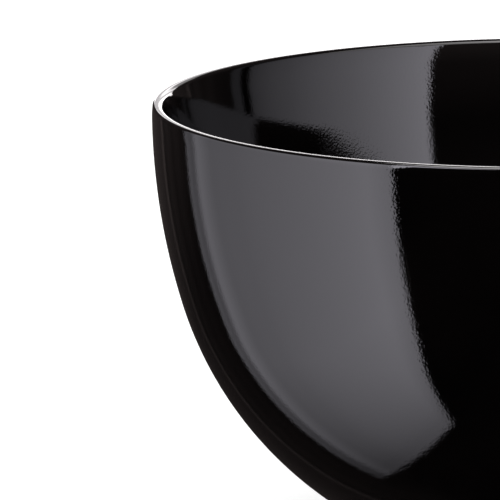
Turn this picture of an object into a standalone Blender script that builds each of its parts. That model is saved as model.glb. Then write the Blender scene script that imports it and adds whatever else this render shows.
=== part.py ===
"""A round glazed stoneware bowl: the fired clay body and the coats of glaze on it.

Metres, +Z up. The bowl turns about Z and stands on Z = 0, and every piece is turned from an
outline in the (r, z) plane. The sizes below are those of the finished, glazed bowl. The clay
lies under the glaze, and shows only on the foot ring, where the bowl is left bare.
"""

import math

import bmesh
import bpy
from mathutils import Vector

MM = 0.001

# Driving dimensions of the glazed bowl
WIDEST_DIAMETER = 250 * MM
HEIGHT = 142 * MM
BELT_DROP = 4.4 * MM  # from the rim's top down to the widest circle
BROW_RADIUS = 30 * MM  # round of the wall above the widest circle
SHOULDER_RADIUS = 205 * MM  # round of the upper wall, upright at the widest circle
SHOULDER_ANGLE = math.radians(16.4)  # lean of the wall where the belly's tighter round begins
RIM_THICKNESS = 3.4 * MM  # where the rim's inner round begins
RIM_INNER_ROUND = 1.8 * MM
LIP_LEAN = math.radians(22)  # lean of the inside where the rim's inner round begins
LIP_ROUND = 50 * MM  # the lip's upper round, under the rim
FLARE_LEAN = math.radians(15)  # lean where the lip's slower lower round begins
FLARE_ROUND = 250 * MM
WAIST_LEAN = math.radians(10.75)  # least lean of the inside, where the lip ends
INSIDE_SHOULDER_RADIUS = 600 * MM  # slow round of the inside, from there down to its belly
HEEL_ANGLE = math.radians(58)  # lean of the wall where the inside turns into the floor
FLOOR_THICKNESS = 7 * MM

# Foot ring, turned from the same clay
FOOT_DIAMETER = 110 * MM
FOOT_HEIGHT = 7.7 * MM  # where the belly's round would meet the ring's side
FOOT_WIDTH = 7 * MM
FOOT_FILLET = 2.5 * MM  # hollow between belly and ring
WELL_DEPTH = 4 * MM  # recess inside the ring
WELL_FILLET = 1.6 * MM

# Clay edges and glaze
CLAY_EDGE_ROUND = 0.4 * MM  # sponged round of the clay's outer rim edge
FOOT_EDGE_ROUND = 0.8 * MM
GLAZE_THICKNESS = 0.5 * MM
BOND_GAP = 0.05 * MM  # stands for the fused bond under the glaze and where two coats meet
GLAZE_LINE = 1.5 * MM  # height of the wiped edge of the glaze on the foot ring

# Facets
SEGMENTS = 56  # round the axis
BROW_STEPS = 2
SHOULDER_STEPS = 3
BELLY_STEPS = 6
INSIDE_BELLY_STEPS = 6
INSIDE_SHOULDER_STEPS = 2
LIP_STEPS = 2  # on each round of the lip
HEEL_STEPS = 3
RIM_STEPS = 3  # on each rounded edge of the rim
FILLET_STEPS = 2  # on each small round of the foot ring
WELD_DISTANCE = 1e-7
SHARP_ANGLE = math.radians(40)

# Colours and finish
CLAY_COLOUR = (0.50, 0.44, 0.37, 1.0)
CLAY_ROUGHNESS = 0.85
GLAZE_COLOUR = (0.006, 0.006, 0.007, 1.0)
GLAZE_ROUGHNESS = 0.05

# Values that follow from those above
COAT = GLAZE_THICKNESS + BOND_GAP  # depth of the clay under a glazed surface
RIM_OUTER_ROUND = CLAY_EDGE_ROUND + COAT
FOOT_RADIUS = FOOT_DIAMETER / 2
WELL_RADIUS = FOOT_RADIUS - FOOT_WIDTH
FLOOR_TOP = WELL_DEPTH + FLOOR_THICKNESS
SHOULDER_CENTRE = Vector((WIDEST_DIAMETER / 2 - SHOULDER_RADIUS, HEIGHT - BELT_DROP))
BROW_CENTRE = Vector((WIDEST_DIAMETER / 2 - BROW_RADIUS, HEIGHT - BELT_DROP))
UP = Vector((0, 1))
INWARD = Vector((-1, 0))


def direction(angle):
    """The unit vector at this angle from +r towards +z."""
    return Vector((math.cos(angle), math.sin(angle)))


def angle_of(vector):
    return math.atan2(vector.y, vector.x)


def spread(start, end, steps):
    """steps + 1 evenly spread values from start to end."""
    return [start + (end - start) * i / steps for i in range(steps + 1)]


def bulge(centre, radius, start, end, steps):
    """Stations, which are pairs of a point and its outward normal, round an outer corner."""
    return [(centre + radius * direction(a), direction(a)) for a in spread(start, end, steps)]


def hollow(centre, radius, start, end, steps):
    """Stations round an inner corner, whose normals point to its centre."""
    return [(centre + radius * direction(a), -direction(a)) for a in spread(start, end, steps)]


def belly():
    """Centre and radius of the lower wall: it leaves the shoulder smoothly and lands on the foot."""
    outward = direction(-SHOULDER_ANGLE)
    joint = SHOULDER_CENTRE + SHOULDER_RADIUS * outward
    landing = Vector((FOOT_RADIUS, FOOT_HEIGHT))
    radius = (landing - joint).length_squared / (2 * (joint - landing).dot(outward))
    return joint - radius * outward, radius


def rim_corners():
    """Centres of the rounds on the rim's inner and outer edges. The outer one touches the brow."""
    rise = HEIGHT - RIM_OUTER_ROUND - BROW_CENTRE.y
    run = math.sqrt((BROW_RADIUS - RIM_OUTER_ROUND) ** 2 - rise**2)
    edge = WIDEST_DIAMETER / 2 - RIM_THICKNESS
    inner = Vector((edge + RIM_INNER_ROUND * math.cos(LIP_LEAN), HEIGHT - RIM_INNER_ROUND))
    return inner, BROW_CENTRE + Vector((run, rise))


def inside_stations():
    """The glazed inside: from the middle of the floor, up the wall and over the rim's inner edge."""
    corner, _ = rim_corners()
    lip_centre = corner + (LIP_ROUND - RIM_INNER_ROUND) * direction(-LIP_LEAN)
    flare_centre = lip_centre + (FLARE_ROUND - LIP_ROUND) * direction(-FLARE_LEAN)
    shoulder_centre = flare_centre - (FLARE_ROUND + INSIDE_SHOULDER_RADIUS) * direction(-WAIST_LEAN)
    centre, _ = belly()
    reach = centre - shoulder_centre
    radius = INSIDE_SHOULDER_RADIUS - reach.length
    joint = angle_of(reach)
    heel_top = centre + radius * direction(-HEEL_ANGLE)
    heel_radius = (heel_top.y - FLOOR_TOP) / (1 - math.sin(HEEL_ANGLE))
    heel_centre = heel_top - heel_radius * direction(-HEEL_ANGLE)
    floor = [(Vector((0, FLOOR_TOP)), UP)]
    heel = hollow(heel_centre, heel_radius, -math.pi / 2, -HEEL_ANGLE, HEEL_STEPS)
    lower = hollow(centre, radius, -HEEL_ANGLE, joint, INSIDE_BELLY_STEPS)[1:]
    span = (joint, -WAIST_LEAN)
    upper = hollow(shoulder_centre, INSIDE_SHOULDER_RADIUS, *span, INSIDE_SHOULDER_STEPS)[1:]
    span = (math.pi - WAIST_LEAN, math.pi - FLARE_LEAN)
    flare = bulge(flare_centre, FLARE_ROUND, *span, LIP_STEPS)[1:]
    lip = bulge(lip_centre, LIP_ROUND, math.pi - FLARE_LEAN, math.pi - LIP_LEAN, LIP_STEPS)[1:]
    edge = bulge(corner, RIM_INNER_ROUND, math.pi - LIP_LEAN, math.pi / 2, RIM_STEPS)[1:]
    return floor + heel + lower + upper + flare + lip + edge


def outside_stations():
    """The glazed outside: from the rim's outer edge down the wall to the wiped line on the foot."""
    _, corner = rim_corners()
    corner_angle = angle_of(corner - BROW_CENTRE)
    centre, radius = belly()
    fillet_reach = FOOT_RADIUS + FOOT_FILLET - centre.x
    fillet_drop = math.sqrt((radius + FOOT_FILLET) ** 2 - fillet_reach**2)
    fillet_centre = centre + Vector((fillet_reach, -fillet_drop))
    landing = angle_of(fillet_centre - centre)
    edge = bulge(corner, RIM_OUTER_ROUND, math.pi / 2, corner_angle, RIM_STEPS)
    brow = bulge(BROW_CENTRE, BROW_RADIUS, corner_angle, 0, BROW_STEPS)[1:]
    shoulder = bulge(SHOULDER_CENTRE, SHOULDER_RADIUS, 0, -SHOULDER_ANGLE, SHOULDER_STEPS)[1:]
    lower = bulge(centre, radius, -SHOULDER_ANGLE, landing, BELLY_STEPS)[1:]
    fillet = hollow(fillet_centre, FOOT_FILLET, landing + math.pi, math.pi, FILLET_STEPS)[1:]
    line = [(Vector((FOOT_RADIUS, GLAZE_LINE)), -INWARD)]
    return edge + brow + shoulder + lower + fillet + line


def well_stations():
    """The glazed recess under the bowl: from its middle to the wiped line on the ring."""
    corner = Vector((WELL_RADIUS - WELL_FILLET, WELL_DEPTH - WELL_FILLET))
    middle = [(Vector((0, WELL_DEPTH)), -UP)]
    fillet = hollow(corner, WELL_FILLET, math.pi / 2, 0, FILLET_STEPS)
    line = [(Vector((WELL_RADIUS, GLAZE_LINE)), INWARD)]
    return middle + fillet + line


def below(stations, depth):
    """The outline that lies this deep under the stations' surface."""
    return [point - depth * normal for point, normal in stations]


def crest_seam(side):
    """The station on the rim's flat top where a coat ends, half a gap from the middle of the rim."""
    inner, outer = rim_corners()
    middle = (inner.x + outer.x) / 2
    return [(Vector((middle + side * BOND_GAP / 2, HEIGHT)), UP)]


def coat_outline(stations):
    """A coat of glaze: its surface, then back along its bonded side."""
    return below(stations, 0) + below(stations, GLAZE_THICKNESS)[::-1]


def bare_foot():
    """The clay foot ring's unglazed part, from its outer side to its inner side."""
    outer = Vector((FOOT_RADIUS - COAT - FOOT_EDGE_ROUND, FOOT_EDGE_ROUND))
    inner = Vector((WELL_RADIUS + COAT + FOOT_EDGE_ROUND, FOOT_EDGE_ROUND))
    down = -math.pi / 2
    rounds = bulge(outer, FOOT_EDGE_ROUND, 0, down, FILLET_STEPS)
    rounds += bulge(inner, FOOT_EDGE_ROUND, down, -math.pi, FILLET_STEPS)
    return below(rounds, 0)


def clay_outline():
    """The clay lies one coat under the glazed surfaces, and at the surface on the bare foot."""
    glazed = inside_stations() + outside_stations()[:-1]
    well = well_stations()[:-1]
    return below(glazed, COAT) + bare_foot() + below(well[::-1], COAT)


def finish(name, colour, roughness):
    """A plain material of this colour."""
    material = bpy.data.materials.new(name)
    material.use_nodes = True
    shader = material.node_tree.nodes["Principled BSDF"]
    shader.inputs["Base Color"].default_value = colour
    shader.inputs["Roughness"].default_value = roughness
    shader.inputs["Metallic"].default_value = 0.0
    return material


def turned(name, outline, material, parent):
    """A solid turned about Z. The outline is a loop, or runs from the axis back to the axis."""
    shape = bmesh.new()
    corners = [shape.verts.new((point.x, 0, point.y)) for point in outline]
    edges = [shape.edges.new(pair) for pair in zip(corners, corners[1:])]
    if outline[0].x > 0:
        edges.append(shape.edges.new((corners[-1], corners[0])))
    bmesh.ops.spin(
        shape, geom=corners + edges, cent=(0, 0, 0), axis=(0, 0, 1),
        angle=2 * math.pi, steps=SEGMENTS, use_merge=True,
    )
    bmesh.ops.remove_doubles(shape, verts=shape.verts, dist=WELD_DISTANCE)
    bmesh.ops.recalc_face_normals(shape, faces=shape.faces)
    mesh = bpy.data.meshes.new(name)
    shape.to_mesh(mesh)
    shape.free()
    mesh.shade_smooth()
    mesh.set_sharp_from_angle(angle=SHARP_ANGLE)
    mesh.materials.append(material)
    piece = bpy.data.objects.new(name, mesh)
    piece.parent = parent
    bpy.context.scene.collection.objects.link(piece)


def main():
    for old in list(bpy.data.objects):
        bpy.data.objects.remove(old)
    bowl = bpy.data.objects.new("bowl", None)
    bpy.context.scene.collection.objects.link(bowl)
    clay = finish("bare_stoneware", CLAY_COLOUR, CLAY_ROUGHNESS)
    glaze = finish("black_gloss_glaze", GLAZE_COLOUR, GLAZE_ROUGHNESS)
    inside = inside_stations() + crest_seam(-1)
    outside = crest_seam(1) + outside_stations()
    turned("stoneware_body", clay_outline(), clay, bowl)
    turned("inside_glaze", coat_outline(inside), glaze, bowl)
    turned("outside_glaze", coat_outline(outside), glaze, bowl)
    turned("foot_well_glaze", coat_outline(well_stations()), glaze, bowl)


main()
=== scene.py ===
"""The looks of a black glazed stoneware bowl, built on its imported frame.

Metres, +Z up. The bowl turns about Z and stands on Z = 0, and the camera looks along +Y. Every
piece is turned from an outline in the (r, z) plane, with the sizes of the finished, glazed bowl.
"""

import math

import bmesh
import bpy
from mathutils import Matrix, Vector


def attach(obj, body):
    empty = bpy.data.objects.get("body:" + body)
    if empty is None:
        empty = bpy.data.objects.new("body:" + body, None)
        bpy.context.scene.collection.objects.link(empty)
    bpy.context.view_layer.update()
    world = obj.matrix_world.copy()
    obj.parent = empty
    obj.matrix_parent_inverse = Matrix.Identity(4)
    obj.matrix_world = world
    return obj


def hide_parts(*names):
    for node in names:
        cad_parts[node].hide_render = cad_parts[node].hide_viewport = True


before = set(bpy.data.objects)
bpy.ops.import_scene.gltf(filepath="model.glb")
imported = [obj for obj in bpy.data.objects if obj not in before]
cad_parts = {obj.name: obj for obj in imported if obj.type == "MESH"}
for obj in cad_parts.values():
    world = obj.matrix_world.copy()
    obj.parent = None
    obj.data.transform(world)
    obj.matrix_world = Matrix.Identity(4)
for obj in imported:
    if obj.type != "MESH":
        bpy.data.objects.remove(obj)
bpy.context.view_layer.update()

MM = 0.001

# Sizes of the glazed bowl
WIDEST_DIAMETER = 250 * MM
HEIGHT = 142 * MM
BELT_DROP = 4.4 * MM  # from the rim's top down to the widest circle
BROW_RADIUS = 30 * MM  # round of the wall above the widest circle
SHOULDER_RADIUS = 205 * MM  # round of the upper wall, upright at the widest circle
SHOULDER_ANGLE = math.radians(16.4)  # lean of the wall where the belly's tighter round begins
RIM_THICKNESS = 3.4 * MM  # where the rim's inner round begins
RIM_INNER_ROUND = 1.8 * MM
LIP_LEAN = math.radians(22)  # lean of the inside where the rim's inner round begins
LIP_ROUND = 50 * MM  # the lip's upper round, under the rim
FLARE_LEAN = math.radians(15)  # lean where the lip's slower lower round begins
FLARE_ROUND = 250 * MM
WAIST_LEAN = math.radians(10.75)  # least lean of the inside, where the lip ends
INSIDE_SHOULDER_RADIUS = 600 * MM  # slow round of the inside, from there down to its belly
HEEL_ANGLE = math.radians(58)  # lean of the wall where the inside turns into the floor
FLOOR_THICKNESS = 7 * MM

# Foot ring
FOOT_DIAMETER = 110 * MM
FOOT_HEIGHT = 7.7 * MM  # where the belly's round would meet the ring's side
FOOT_WIDTH = 7 * MM
FOOT_FILLET = 2.5 * MM  # hollow between belly and ring
WELL_DEPTH = 4 * MM  # recess inside the ring
WELL_FILLET = 1.6 * MM

# Clay edges and glaze
CLAY_EDGE_ROUND = 0.4 * MM
FOOT_EDGE_ROUND = 0.8 * MM
GLAZE_THICKNESS = 0.5 * MM
BOND_GAP = 0.05 * MM  # between the clay and the glaze on it
SEAM_GAP = 0.005 * MM  # where the inside and outside coats meet on top of the rim
GLAZE_LINE = 1.5 * MM  # mean height of the wiped edge of the glaze on the foot ring
WIPE_WAVES = (  # of the wiped edge: how many go round the foot, their height and their phase
    (5, 0.10 * MM, 0.4), (11, 0.06 * MM, 2.1), (23, 0.03 * MM, 4.0),
)
WIPE_REACH = 2.5 * MM  # height over which these waves die out

# Mesh steps
SEGMENTS = 192  # round the axis
BROW_STEPS = 6
SHOULDER_STEPS = 16
BELLY_STEPS = 36
INSIDE_BELLY_STEPS = 36
INSIDE_SHOULDER_STEPS = 16
LIP_STEPS = 8
HEEL_STEPS = 12
FLOOR_STEPS = 6
RIM_STEPS = 10  # on each rounded edge of the rim
FILLET_STEPS = 6
WELD_DISTANCE = 1e-8
SHARP_ANGLE = math.radians(40)  # an edge that turns by more is a crease

# Values that follow from those above
COAT = GLAZE_THICKNESS + BOND_GAP  # depth of the clay under a glazed surface
RIM_OUTER_ROUND = CLAY_EDGE_ROUND + COAT
FOOT_RADIUS = FOOT_DIAMETER / 2
WELL_RADIUS = FOOT_RADIUS - FOOT_WIDTH
FLOOR_TOP = WELL_DEPTH + FLOOR_THICKNESS
SHOULDER_CENTRE = Vector((WIDEST_DIAMETER / 2 - SHOULDER_RADIUS, HEIGHT - BELT_DROP))
BROW_CENTRE = Vector((WIDEST_DIAMETER / 2 - BROW_RADIUS, HEIGHT - BELT_DROP))
UP = Vector((0, 1))


# Outlines: lists of stations, which are pairs of a point on the surface and its normal

def direction(angle):
    """The unit vector at this angle from +r towards +z."""
    return Vector((math.cos(angle), math.sin(angle)))


def angle_of(vector):
    return math.atan2(vector.y, vector.x)


def spread(start, end, steps):
    """steps + 1 evenly spread values from start to end."""
    return [start + (end - start) * i / steps for i in range(steps + 1)]


def bulge(centre, radius, start, end, steps):
    """Stations round an outer corner."""
    return [(centre + radius * direction(a), direction(a)) for a in spread(start, end, steps)]


def hollow(centre, radius, start, end, steps):
    """Stations round an inner corner, whose normals point to its centre."""
    return [(centre + radius * direction(a), -direction(a)) for a in spread(start, end, steps)]


def straight(start, end, normal, steps):
    """Stations along a line, without its two ends."""
    return [(start.lerp(end, i / steps), normal) for i in range(1, steps)]


def belly():
    """Centre and radius of the lower wall: it leaves the shoulder smoothly and lands on the foot."""
    outward = direction(-SHOULDER_ANGLE)
    joint = SHOULDER_CENTRE + SHOULDER_RADIUS * outward
    landing = Vector((FOOT_RADIUS, FOOT_HEIGHT))
    radius = (landing - joint).length_squared / (2 * (joint - landing).dot(outward))
    return joint - radius * outward, radius


def rim_corners():
    """Centres of the rounds on the rim's inner and outer edges. The outer one touches the brow."""
    rise = HEIGHT - RIM_OUTER_ROUND - BROW_CENTRE.y
    run = math.sqrt((BROW_RADIUS - RIM_OUTER_ROUND) ** 2 - rise**2)
    edge = WIDEST_DIAMETER / 2 - RIM_THICKNESS
    inner = Vector((edge + RIM_INNER_ROUND * math.cos(LIP_LEAN), HEIGHT - RIM_INNER_ROUND))
    return inner, BROW_CENTRE + Vector((run, rise))


def inside_stations():
    """The glazed inside: from the middle of the floor, up the wall and over the rim's inner edge."""
    corner, _ = rim_corners()
    lip_centre = corner + (LIP_ROUND - RIM_INNER_ROUND) * direction(-LIP_LEAN)
    flare_centre = lip_centre + (FLARE_ROUND - LIP_ROUND) * direction(-FLARE_LEAN)
    shoulder_centre = flare_centre - (FLARE_ROUND + INSIDE_SHOULDER_RADIUS) * direction(-WAIST_LEAN)
    centre, _ = belly()
    reach = centre - shoulder_centre
    radius = INSIDE_SHOULDER_RADIUS - reach.length
    joint = angle_of(reach)
    heel_top = centre + radius * direction(-HEEL_ANGLE)
    heel_radius = (heel_top.y - FLOOR_TOP) / (1 - math.sin(HEEL_ANGLE))
    heel_centre = heel_top - heel_radius * direction(-HEEL_ANGLE)
    heel = hollow(heel_centre, heel_radius, -math.pi / 2, -HEEL_ANGLE, HEEL_STEPS)
    lower = hollow(centre, radius, -HEEL_ANGLE, joint, INSIDE_BELLY_STEPS)[1:]
    span = (joint, -WAIST_LEAN)
    upper = hollow(shoulder_centre, INSIDE_SHOULDER_RADIUS, *span, INSIDE_SHOULDER_STEPS)[1:]
    span = (math.pi - WAIST_LEAN, math.pi - FLARE_LEAN)
    flare = bulge(flare_centre, FLARE_ROUND, *span, LIP_STEPS)[1:]
    lip = bulge(lip_centre, LIP_ROUND, math.pi - FLARE_LEAN, math.pi - LIP_LEAN, LIP_STEPS)[1:]
    edge = bulge(corner, RIM_INNER_ROUND, math.pi - LIP_LEAN, math.pi / 2, RIM_STEPS)[1:]
    middle = Vector((0, FLOOR_TOP))
    floor = [(middle, UP)] + straight(middle, heel[0][0], UP, FLOOR_STEPS)
    return floor + heel + lower + upper + flare + lip + edge


def outside_stations():
    """The glazed outside: from the rim's outer edge down the wall to the side of the foot ring."""
    _, corner = rim_corners()
    corner_angle = angle_of(corner - BROW_CENTRE)
    centre, radius = belly()
    fillet_reach = FOOT_RADIUS + FOOT_FILLET - centre.x
    fillet_drop = math.sqrt((radius + FOOT_FILLET) ** 2 - fillet_reach**2)
    fillet_centre = centre + Vector((fillet_reach, -fillet_drop))
    landing = angle_of(fillet_centre - centre)
    edge = bulge(corner, RIM_OUTER_ROUND, math.pi / 2, corner_angle, RIM_STEPS)
    brow = bulge(BROW_CENTRE, BROW_RADIUS, corner_angle, 0, BROW_STEPS)[1:]
    shoulder = bulge(SHOULDER_CENTRE, SHOULDER_RADIUS, 0, -SHOULDER_ANGLE, SHOULDER_STEPS)[1:]
    lower = bulge(centre, radius, -SHOULDER_ANGLE, landing, BELLY_STEPS)[1:]
    fillet = hollow(fillet_centre, FOOT_FILLET, landing + math.pi, math.pi, FILLET_STEPS)[1:]
    return edge + brow + shoulder + lower + fillet


def well_stations():
    """The glazed recess under the bowl: from its middle to the inner side of the foot ring."""
    corner = Vector((WELL_RADIUS - WELL_FILLET, WELL_DEPTH - WELL_FILLET))
    middle = Vector((0, WELL_DEPTH))
    fillet = hollow(corner, WELL_FILLET, math.pi / 2, 0, FILLET_STEPS)
    return [(middle, -UP)] + straight(middle, fillet[0][0], -UP, FLOOR_STEPS) + fillet


def crest_seam(side):
    """The station on the rim's flat top where a coat ends, half a gap from the middle of the rim."""
    inner, outer = rim_corners()
    middle = (inner.x + outer.x) / 2
    return [(Vector((middle + side * SEAM_GAP / 2, HEIGHT)), UP)]


def wiped_edge(radius, outward):
    """The rounded bead that ends a coat on the foot ring. outward is 1 or -1, away from the clay."""
    centre = Vector((radius - outward * GLAZE_THICKNESS, GLAZE_LINE + GLAZE_THICKNESS))
    start = angle_of(Vector((outward, 0)))
    turn = -outward * math.pi / 2
    return bulge(centre, GLAZE_THICKNESS, start, start + turn, FILLET_STEPS)


def below(stations, depth):
    """The outline that lies this deep under the stations' surface."""
    return [point - depth * normal for point, normal in stations]


def coat_outline(stations, bead=()):
    """A coat of glaze: its surface, the bead that ends it, then back along its bonded side."""
    surface = below(stations, 0) + below(bead, 0)
    return surface + below(stations, GLAZE_THICKNESS)[::-1]


def bare_foot():
    """The clay foot ring's unglazed part, from its outer side to its inner side."""
    outer = Vector((FOOT_RADIUS - COAT - FOOT_EDGE_ROUND, FOOT_EDGE_ROUND))
    inner = Vector((WELL_RADIUS + COAT + FOOT_EDGE_ROUND, FOOT_EDGE_ROUND))
    down = -math.pi / 2
    rounds = bulge(outer, FOOT_EDGE_ROUND, 0, down, FILLET_STEPS)
    rounds += bulge(inner, FOOT_EDGE_ROUND, down, -math.pi, FILLET_STEPS)
    return below(rounds, 0)


def clay_outline():
    """The clay lies one coat under the glazed surfaces, and at the surface on the bare foot."""
    glazed = below(inside_stations() + outside_stations(), COAT)
    return glazed + bare_foot() + below(well_stations()[::-1], COAT)


# Meshes

def added(name, data):
    """A new object in the scene."""
    item = bpy.data.objects.new(name, data)
    bpy.context.scene.collection.objects.link(item)
    return item


def wave(angle):
    """How far the wiped edge of the glaze lies above its mean height, at this angle round the foot."""
    return sum(height * math.sin(count * angle + phase) for count, height, phase in WIPE_WAVES)


def make_wavy(shape):
    """Moves the wiped edge of a coat up and down a little, as a sponge leaves it."""
    for vert in shape.verts:
        rise = vert.co.z - GLAZE_LINE
        fade = max(0, 1 - rise / WIPE_REACH)
        vert.co.z += fade * wave(math.atan2(vert.co.y, vert.co.x))


def turned(name, outline, material, wavy=False):
    """A solid turned about Z. The outline is a loop, or runs from the axis back to the axis."""
    shape = bmesh.new()
    corners = [shape.verts.new((point.x, 0, point.y)) for point in outline]
    edges = [shape.edges.new(pair) for pair in zip(corners, corners[1:])]
    if outline[0].x > 0:
        edges.append(shape.edges.new((corners[-1], corners[0])))
    bmesh.ops.spin(
        shape, geom=corners + edges, cent=(0, 0, 0), axis=(0, 0, 1),
        angle=2 * math.pi, steps=SEGMENTS, use_merge=True,
    )
    bmesh.ops.remove_doubles(shape, verts=shape.verts, dist=WELD_DISTANCE)
    bmesh.ops.recalc_face_normals(shape, faces=shape.faces)
    if wavy:
        make_wavy(shape)
    mesh = bpy.data.meshes.new(name)
    shape.to_mesh(mesh)
    shape.free()
    mesh.shade_smooth()
    mesh.set_sharp_from_angle(angle=SHARP_ANGLE)
    mesh.materials.append(material)
    return added(name, mesh)


# Materials

def new_material(name):
    material = bpy.data.materials.new(name)
    material.use_nodes = True
    return material, material.node_tree.nodes, material.node_tree.links


def surface_places(nodes, kind="Object"):
    """The coordinates of the places on a surface."""
    return nodes.new("ShaderNodeTexCoord").outputs[kind]


def split(nodes, links, places):
    """The X, Y and Z of these places."""
    node = nodes.new("ShaderNodeSeparateXYZ")
    links.new(places, node.inputs["Vector"])
    return node.outputs


def noise(nodes, links, places, scale, detail=2.0):
    """The grey noise at this many features per metre, all over the bowl."""
    node = nodes.new("ShaderNodeTexNoise")
    node.inputs["Scale"].default_value = scale
    node.inputs["Detail"].default_value = detail
    links.new(places, node.inputs["Vector"])
    return node.outputs["Fac"]


def ramp(nodes, links, value, stops):
    """Turns a value into a colour between stops, which are pairs of a value and a colour."""
    node = nodes.new("ShaderNodeValToRGB")
    elements = node.color_ramp.elements
    while len(elements) < len(stops):
        elements.new(0.5)
    for element, (place, colour) in zip(elements, stops):
        element.position = place
        element.color = colour
    links.new(value, node.inputs["Fac"])
    return node.outputs["Color"]


def ranged(nodes, links, value, low, high, to_low, to_high):
    """Turns a value between low and high into one between to_low and to_high."""
    node = nodes.new("ShaderNodeMapRange")
    settings = {"From Min": low, "From Max": high, "To Min": to_low, "To Max": to_high}
    for name, setting in settings.items():
        node.inputs[name].default_value = setting
    links.new(value, node.inputs["Value"])
    return node.outputs["Result"]


def scaled(nodes, links, share, whole):
    """A share, between 0 and 1, of a whole."""
    return ranged(nodes, links, share, 0.0, 1.0, 0.0, whole)


def combined(nodes, links, operation, first, second):
    """The sum or the product of two values."""
    node = nodes.new("ShaderNodeMath")
    node.operation = operation
    links.new(first, node.inputs[0])
    links.new(second, node.inputs[1])
    return node.outputs["Value"]


def mixed(nodes, links, share, first, second):
    """A share of the second colour over the first one."""
    node = nodes.new("ShaderNodeMix")
    node.data_type = "RGBA"
    links.new(share, node.inputs["Factor"])
    links.new(first, node.inputs["A"])
    node.inputs["B"].default_value = second
    return node.outputs["Result"]


def bump(nodes, links, height, depth, under=None):
    """A normal from a height between 0 and 1 that stands for this depth in metres."""
    node = nodes.new("ShaderNodeBump")
    node.inputs["Distance"].default_value = depth
    links.new(height, node.inputs["Height"])
    if under:
        links.new(under, node.inputs["Normal"])
    return node.outputs["Normal"]


# Glaze: scales are in features per metre, and spans are pairs of noise values
CLOUD_SPAN = (0.3, 0.7)  # between which the shine of the glaze and of the clay changes
GLAZE_CLOUD_SCALE = 30
GLAZE_CLOUD_DETAIL = 4.0
GLAZE_COLOURS = (  # each at a noise value
    (0.35, (0.0009, 0.0007, 0.0008, 1.0)),
    (0.7, (0.0022, 0.0016, 0.0016, 1.0)),
)
GLAZE_ROUGHNESS = (0.02, 0.045)
GLAZE_IOR = 1.5
PEEL_SCALE = 1300  # orange peel
PEEL_DEPTH = 0.014 * MM
FLOW_SCALE = 45  # slow waves that the melted glaze settled into
FLOW_DEPTH = 0.03 * MM


def glaze_material():
    """Black gloss glaze: an orange-peel skin, slow waves and faintly uneven colour and shine."""
    material, nodes, links = new_material("black_gloss_glaze")
    shader = nodes["Principled BSDF"]
    shader.inputs["IOR"].default_value = GLAZE_IOR
    places = surface_places(nodes)
    cloud = noise(nodes, links, places, GLAZE_CLOUD_SCALE, GLAZE_CLOUD_DETAIL)
    links.new(ramp(nodes, links, cloud, GLAZE_COLOURS), shader.inputs["Base Color"])
    links.new(ranged(nodes, links, cloud, *CLOUD_SPAN, *GLAZE_ROUGHNESS), shader.inputs["Roughness"])
    flow = bump(nodes, links, noise(nodes, links, places, FLOW_SCALE, detail=0.0), FLOW_DEPTH)
    peel = noise(nodes, links, places, PEEL_SCALE)
    links.new(bump(nodes, links, peel, PEEL_DEPTH, flow), shader.inputs["Normal"])
    return material


# Clay
CLAY_CLOUD_SCALE = 90
CLAY_CLOUD_DETAIL = 5.0
CLAY_COLOURS = (
    (0.3, (0.40, 0.33, 0.26, 1.0)),
    (0.7, (0.50, 0.43, 0.35, 1.0)),
)
CLAY_ROUGHNESS = (0.75, 0.92)
SPECK_COLOUR = (0.09, 0.06, 0.04, 1.0)
SPECK_SCALE = 900
SPECK_SPAN = (0.68, 0.74)  # from the edge of a speck to its full colour
TOAST_COLOUR = (0.23, 0.13, 0.07, 1.0)
TOAST_HEIGHTS = (0.3 * MM, GLAZE_LINE)  # between which the clay turns brown
TOAST_SHARE = 0.85
GRAIN_SCALE = 1500
GRAIN_DETAIL = 6.0
GRAIN_DEPTH = 0.15 * MM


def clay_material():
    """Bare stoneware: sandy, specked with iron, and toasted brown close to the glaze."""
    material, nodes, links = new_material("bare_stoneware")
    shader = nodes["Principled BSDF"]
    places = surface_places(nodes)
    cloud = noise(nodes, links, places, CLAY_CLOUD_SCALE, CLAY_CLOUD_DETAIL)
    sand = ramp(nodes, links, cloud, CLAY_COLOURS)
    height = split(nodes, links, places)["Z"]
    toast = ranged(nodes, links, height, *TOAST_HEIGHTS, 0.0, TOAST_SHARE)
    browned = mixed(nodes, links, toast, sand, TOAST_COLOUR)
    dots = noise(nodes, links, places, SPECK_SCALE, detail=0.0)
    specks = ranged(nodes, links, dots, *SPECK_SPAN, 0.0, 1.0)
    links.new(mixed(nodes, links, specks, browned, SPECK_COLOUR), shader.inputs["Base Color"])
    links.new(ranged(nodes, links, cloud, *CLOUD_SPAN, *CLAY_ROUGHNESS), shader.inputs["Roughness"])
    grain = noise(nodes, links, places, GRAIN_SCALE, GRAIN_DETAIL)
    links.new(bump(nodes, links, grain, GRAIN_DEPTH), shader.inputs["Normal"])
    return material


def build_bowl():
    """The four pieces of the bowl, each in the place of its node in the frame."""
    clay = clay_material()
    glaze = glaze_material()
    inside = coat_outline(inside_stations() + crest_seam(-1))
    outside_bead = wiped_edge(FOOT_RADIUS, 1)
    outside = coat_outline(crest_seam(1) + outside_stations(), outside_bead)
    well = coat_outline(well_stations(), wiped_edge(WELL_RADIUS, -1))
    pieces = (
        ("stoneware_body", "bare_stoneware", turned("clay_body", clay_outline(), clay)),
        ("inside_glaze", "black_glaze", turned("inside_coat", inside, glaze)),
        ("outside_glaze", "black_glaze", turned("outside_coat", outside, glaze, wavy=True)),
        ("foot_well_glaze", "black_glaze", turned("foot_well_coat", well, glaze, wavy=True)),
    )
    for node, slot, piece in pieces:
        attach(piece, "root")
        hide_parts(node)


# Stage

def sheet(name, corners, material):
    """A flat stage object."""
    mesh = bpy.data.meshes.new(name)
    mesh.from_pydata(corners, [], [tuple(range(len(corners)))])
    mesh.materials.append(material)
    card = added(name, mesh)
    return card


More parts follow.
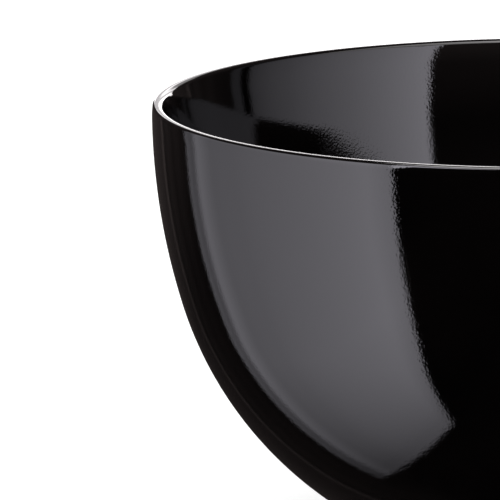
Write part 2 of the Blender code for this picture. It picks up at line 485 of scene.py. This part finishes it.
def only_reflected(card):
    """Shows a card in the gloss of the bowl alone: it neither lights nor shades anything else."""
    card.visible_camera = False
    card.visible_diffuse = False
    card.visible_transmission = False
    card.visible_shadow = False


def light_path(nodes, links):
    """1 for the rays that should see the plain white studio, and 0 for those that light it."""
    rays = nodes.new("ShaderNodeLightPath").outputs
    seen = combined(nodes, links, "ADD", rays["Is Camera Ray"], rays["Is Glossy Ray"])
    seen = combined(nodes, links, "ADD", seen, rays["Is Transmission Ray"])
    seen.node.use_clamp = True
    return seen


PURE_WHITE = (1.0, 1.0, 1.0, 1.0)
FLOOR_REACH = 12.0
FLOOR_COLOUR = (0.62, 0.62, 0.62, 1.0)
FLOOR_ROUGHNESS = 0.9
FLOOR_WHITE = 0.72  # added for the rays that see the floor


def build_floor():
    """A pale floor that renders white and keeps the bowl's soft shadow."""
    material, nodes, links = new_material("pale_floor")
    shader = nodes["Principled BSDF"]
    shader.inputs["Base Color"].default_value = FLOOR_COLOUR
    shader.inputs["Roughness"].default_value = FLOOR_ROUGHNESS
    shader.inputs["Specular IOR Level"].default_value = 0.0
    shader.inputs["Emission Color"].default_value = PURE_WHITE
    seen = scaled(nodes, links, light_path(nodes, links), FLOOR_WHITE)
    links.new(seen, shader.inputs["Emission Strength"])
    signs = ((-1, -1), (1, -1), (1, 1), (-1, 1))
    corners = [(x * FLOOR_REACH, y * FLOOR_REACH, 0) for x, y in signs]
    floor = sheet("floor", corners, material)
    floor.visible_glossy = False


# Lit cards, given by their corners: start low, end low, end high, start high

EVEN = ((0.0, 1.0), (1.0, 1.0))  # stops of a light that is the same all over
WHOLE = ((0.0, 0.0), (1.0, 0.0), (1.0, 1.0), (0.0, 1.0))  # outline: places across and upward
WHITE = Vector((1.0, 1.0, 1.0))
COOL = Vector((1.0, 0.97, 1.07))
WARM = Vector((1.0, 0.965, 0.975))


def shades(stops, tint=WHITE):
    """Stops of a ramp, from pairs of a place between 0 and 1 and a share of the tint."""
    return [(place, (*(share * tint), 1.0)) for place, share in stops]


def emitter(name):
    """A material that does nothing but emit light."""
    material, nodes, links = new_material(name)
    nodes.clear()
    output = nodes.new("ShaderNodeOutputMaterial")
    emission = nodes.new("ShaderNodeEmission")
    links.new(emission.outputs["Emission"], output.inputs["Surface"])
    return material, nodes, links, emission


def card_material(name, light, across, upward, tint):
    """Light that changes from a card's start to its end, and from its lower edge to its upper one."""
    material, nodes, links, emission = emitter(name)
    place = split(nodes, links, surface_places(nodes, "UV"))
    links.new(ramp(nodes, links, place["X"], shades(across, tint)), emission.inputs["Color"])
    rise = ramp(nodes, links, place["Y"], shades(upward))
    links.new(scaled(nodes, links, rise, light), emission.inputs["Strength"])
    return material


def build_card(name, corners, light, across=EVEN, upward=EVEN, tint=WHITE, outline=WHOLE):
    """A lit card. across and upward are stops: pairs of a place between 0 and 1 and a share of light."""
    low_start, low_end, high_end, high_start = (Vector(corner) for corner in corners)
    points = []
    for along, rise in outline:
        low = low_start.lerp(low_end, along)
        points.append(low.lerp(high_start.lerp(high_end, along), rise))
    card = sheet(name, points, card_material(name, light, across, upward, tint))
    places = card.data.uv_layers.new()
    for corner, place in zip(places.data, outline):
        corner.uv = place
    only_reflected(card)


# The two tall softboxes start in front and end behind. FALL is the light along them, RISE that up them.
SOFTBOX_DISTANCE = 1.0
SOFTBOX_FACING = math.radians(84)  # from the camera's side round to the middle of each softbox
SOFTBOX_BACK = -0.80  # along the softbox from its middle to its back edge
SOFTBOX_BOTTOM = -1.9

LEFT_FRONT = 0.86  # along the softbox from its middle to its front edge
LEFT_TOP = 0.55
LEFT_OUTLINE = (  # rounded off at its lower front corner
    (0.046, 0.0), (1.0, 0.0), (1.0, 1.0), (0.0, 1.0), (0.0, 0.45), (0.035, 0.12),
)
LEFT_LIGHT = 4.1
LEFT_RISE = ((0.06, 0.36), (0.53, 0.85), (0.82, 0.85), (0.87, 1.0))
LEFT_FALL = (
    (0.0, 0.77), (0.12, 0.9), (0.5, 0.5), (0.65, 0.34),
    (0.78, 0.25), (0.885, 0.29), (0.93, 0.105), (1.0, 0.15),
)

RIGHT_FRONT = 0.857
RIGHT_TOP = 1.25
RIGHT_OUTLINE = (  # its front edge leans forward in its upper part
    (0.0, 0.0), (1.0, 0.0), (1.0, 1.0), (-0.06, 1.0), (-0.034, 0.91), (-0.02, 0.8), (0.0, 0.74),
)
RIGHT_LIGHT = 3.5
RIGHT_RISE = ((0.05, 0.42), (0.41, 1.0))
RIGHT_FALL = (
    (0.0, 1.0), (0.4, 0.5), (0.65, 0.24), (0.86, 0.09),
    (0.87, 0.0), (0.92, 0.0), (0.93, 0.05), (1.0, 0.04),
)


def softbox_corners(side, reach, top):
    """Corners of a tall softbox beside the bowl. side is -1 for the left and 1 for the right."""
    facing = Vector((side * math.sin(SOFTBOX_FACING), -math.cos(SOFTBOX_FACING)))
    forward = Vector((-side * math.cos(SOFTBOX_FACING), -math.sin(SOFTBOX_FACING)))
    middle = SOFTBOX_DISTANCE * facing
    front = middle + reach * forward
    back = middle + SOFTBOX_BACK * forward
    return [(*front, SOFTBOX_BOTTOM), (*back, SOFTBOX_BOTTOM), (*back, top), (*front, top)]


def build_softboxes():
    """The two softboxes that stand beside the bowl."""
    left = softbox_corners(-1, LEFT_FRONT, LEFT_TOP)
    build_card("left_softbox", left, LEFT_LIGHT, LEFT_FALL, LEFT_RISE, COOL, LEFT_OUTLINE)
    right = softbox_corners(1, RIGHT_FRONT, RIGHT_TOP)
    build_card("right_softbox", right, RIGHT_LIGHT, RIGHT_FALL, RIGHT_RISE, COOL, RIGHT_OUTLINE)


# The softbox overhead starts on the left, and its lower edge is the one in front
TOP_HEIGHT = 0.95
TOP_LEFT = -0.45
TOP_RIGHT = 0.8
TOP_FRONT = -0.7
TOP_BACK = (-0.05, 0.25)  # on its left and on its right
TOP_LIGHT = 7.5
TOP_FALL = ((0.35, 1.0), (0.5, 0.7), (0.8, 0.25), (1.0, 0.15))


def build_top_softbox():
    """The softbox over the bowl, which draws the bright line along the far rim."""
    corners = [
        (TOP_LEFT, TOP_FRONT, TOP_HEIGHT), (TOP_RIGHT, TOP_FRONT, TOP_HEIGHT),
        (TOP_RIGHT, TOP_BACK[1], TOP_HEIGHT), (TOP_LEFT, TOP_BACK[0], TOP_HEIGHT),
    ]
    build_card("top_softbox", corners, TOP_LIGHT, TOP_FALL, tint=WARM)


# The softbox in front
FRONT_DEPTH = -1.2  # along Y
FRONT_LEFT = -1.2
FRONT_RIGHT = -0.3
FRONT_BOTTOM = (0.06, 0.87)  # on its left and on its right
FRONT_TOP = (1.4, 0.9)
FRONT_LIGHT = 6.0


def build_front_softbox():
    """The softbox left of the camera, which draws the bright line under the near rim."""
    corners = [
        (FRONT_LEFT, FRONT_DEPTH, FRONT_BOTTOM[0]), (FRONT_RIGHT, FRONT_DEPTH, FRONT_BOTTOM[1]),
        (FRONT_RIGHT, FRONT_DEPTH, FRONT_TOP[1]), (FRONT_LEFT, FRONT_DEPTH, FRONT_TOP[0]),
    ]
    build_card("front_softbox", corners, FRONT_LIGHT, tint=COOL)


# The backdrop
BACKDROP_DEPTH = 2.27  # along Y
BACKDROP_LEFT = -0.58
BACKDROP_RIGHT = 0.8
BACKDROP_BOTTOM = -0.05
BACKDROP_TOP = 1.3
BACKDROP_LIGHT = 7.9
BACKDROP_ACROSS = ((0.17, 0.5), (0.37, 0.63))
BACKDROP_RISE = (
    (0.315, 1.0), (0.397, 0.28), (0.453, 0.3), (0.49, 0.72), (0.6, 0.72), (0.66, 0.2),
)


def build_backdrop():
    """The lit backdrop that the flat top of the rim mirrors."""
    corners = [
        (BACKDROP_LEFT, BACKDROP_DEPTH, BACKDROP_BOTTOM),
        (BACKDROP_RIGHT, BACKDROP_DEPTH, BACKDROP_BOTTOM),
        (BACKDROP_RIGHT, BACKDROP_DEPTH, BACKDROP_TOP),
        (BACKDROP_LEFT, BACKDROP_DEPTH, BACKDROP_TOP),
    ]
    build_card("backdrop", corners, BACKDROP_LIGHT, BACKDROP_ACROSS, BACKDROP_RISE, WARM)


# The dark room: depths are along Y, and pairs are the places between which a light changes
ROOM_RADIUS = 2.6
ROOM_TOP = 4.0
ROOM_BOTTOM = -6.0
ROOM_SEGMENTS = 96
ROOM_TINT = (1.0, 0.82, 0.80, 1.0)
ROOM_LIGHT = 0.15  # behind the bowl
ROOM_DEPTHS = (0.8, 2.4)
ROOM_BEHIND = (  # stops: a place between these depths and a share of light
    (0.0, 0.08), (0.52, 0.22), (0.59, 0.31), (0.67, 0.21), (0.756, 0.32),
    (0.81, 0.18), (0.83, 0.2), (0.85, 1.0), (0.87, 0.32), (1.0, 0.32),
)
GROUND_HEIGHTS = (-0.8, -0.25)
GROUND_SHARE = 0.45
CEILING_HEIGHTS = (0.6, 1.8)
CEILING_LIGHT = 0.14  # in front of the bowl
CEILING_DEPTHS = (-1.5, 0.0)
CEILING_BACK_SHARE = 0.2


def room_material():
    """Next to no light in front of the bowl, and a dim warm one behind it, with a pale upright edge."""
    material, nodes, links, emission = emitter("dark_room")
    emission.inputs["Color"].default_value = ROOM_TINT
    place = split(nodes, links, surface_places(nodes))
    depth = ranged(nodes, links, place["Y"], *ROOM_DEPTHS, 0.0, 1.0)
    behind = scaled(nodes, links, ramp(nodes, links, depth, shades(ROOM_BEHIND)), ROOM_LIGHT)
    ground = ranged(nodes, links, place["Z"], *GROUND_HEIGHTS, GROUND_SHARE, 1.0)
    walls = combined(nodes, links, "MULTIPLY", behind, ground)
    high = ranged(nodes, links, place["Z"], *CEILING_HEIGHTS, 0.0, CEILING_LIGHT)
    front = ranged(nodes, links, place["Y"], *CEILING_DEPTHS, 1.0, CEILING_BACK_SHARE)
    ceiling = combined(nodes, links, "MULTIPLY", high, front)
    links.new(combined(nodes, links, "ADD", walls, ceiling), emission.inputs["Strength"])
    return material


def build_dark_room():
    """Dark walls and a dark ground that the gloss of the bowl shows between the softboxes."""
    shape = bmesh.new()
    bmesh.ops.create_cone(
        shape, cap_ends=True, segments=ROOM_SEGMENTS, radius1=ROOM_RADIUS, radius2=ROOM_RADIUS,
        depth=ROOM_TOP - ROOM_BOTTOM, matrix=Matrix.Translation((0, 0, (ROOM_TOP + ROOM_BOTTOM) / 2)),
    )
    mesh = bpy.data.meshes.new("dark_room")
    shape.to_mesh(mesh)
    shape.free()
    mesh.materials.append(room_material())
    room = added("dark_room", mesh)
    only_reflected(room)


# Light

AMBIENT = 0.7
LAMP_HEIGHT = 1.6
LAMP_SIZE = 1.6
LAMP_POWER = 9.0


def build_world():
    """A plain white studio, which lights the bowl at a plain level."""
    world = bpy.data.worlds.new("studio")
    bpy.context.scene.world = world
    world.use_nodes = True
    nodes = world.node_tree.nodes
    links = world.node_tree.links
    lighting = nodes["Background"]
    seen = nodes.new("ShaderNodeBackground")
    for background, strength in ((lighting, AMBIENT), (seen, 1.0)):
        background.inputs["Color"].default_value = PURE_WHITE
        background.inputs["Strength"].default_value = strength
    choice = nodes.new("ShaderNodeMixShader")
    links.new(light_path(nodes, links), choice.inputs["Fac"])
    links.new(lighting.outputs["Background"], choice.inputs[1])
    links.new(seen.outputs["Background"], choice.inputs[2])
    links.new(choice.outputs["Shader"], nodes["World Output"].inputs["Surface"])


def build_lamp():
    """One large soft lamp above the bowl, which its gloss doesn't show."""
    data = bpy.data.lights.new("soft_lamp", "AREA")
    data.size = LAMP_SIZE
    data.energy = LAMP_POWER
    lamp = added("soft_lamp", data)
    lamp.location = (0, 0, LAMP_HEIGHT)
    lamp.visible_glossy = False
    lamp.visible_camera = False


# Camera

IMAGE_SIZE = 500
FOCAL_PIXELS = 4193.09
CAMERA_DISTANCE = 1.3  # from the point on the axis at the rim's level
RIM_LEVEL = 142.31 * MM
CAMERA_ELEVATION = math.radians(9.24)
CAMERA_YAW = math.radians(-4.2567)
CAMERA_PITCH = math.radians(-2.0758)
CAMERA_ROLL = math.radians(-0.779)


def build_camera():
    """The photograph's view: a long lens, a little above the rim, with the bowl to the right."""
    data = bpy.data.cameras.new("camera")
    data.lens = FOCAL_PIXELS / IMAGE_SIZE * data.sensor_width
    camera = added("camera", data)
    away = CAMERA_DISTANCE * direction(CAMERA_ELEVATION)
    place = Matrix.Translation((0, -away.x, RIM_LEVEL + away.y))
    look = Matrix.Rotation(-CAMERA_YAW, 4, "Z")
    tilt = Matrix.Rotation(math.pi / 2 - CAMERA_ELEVATION + CAMERA_PITCH, 4, "X")
    roll = Matrix.Rotation(CAMERA_ROLL, 4, "Z")
    camera.matrix_world = place @ look @ tilt @ roll
    bpy.context.scene.camera = camera


build_bowl()
build_floor()
build_softboxes()
build_top_softbox()
build_front_softbox()
build_backdrop()
build_dark_room()
build_world()
build_lamp()
build_camera()
bpy.context.scene.view_settings.view_transform = "Standard"
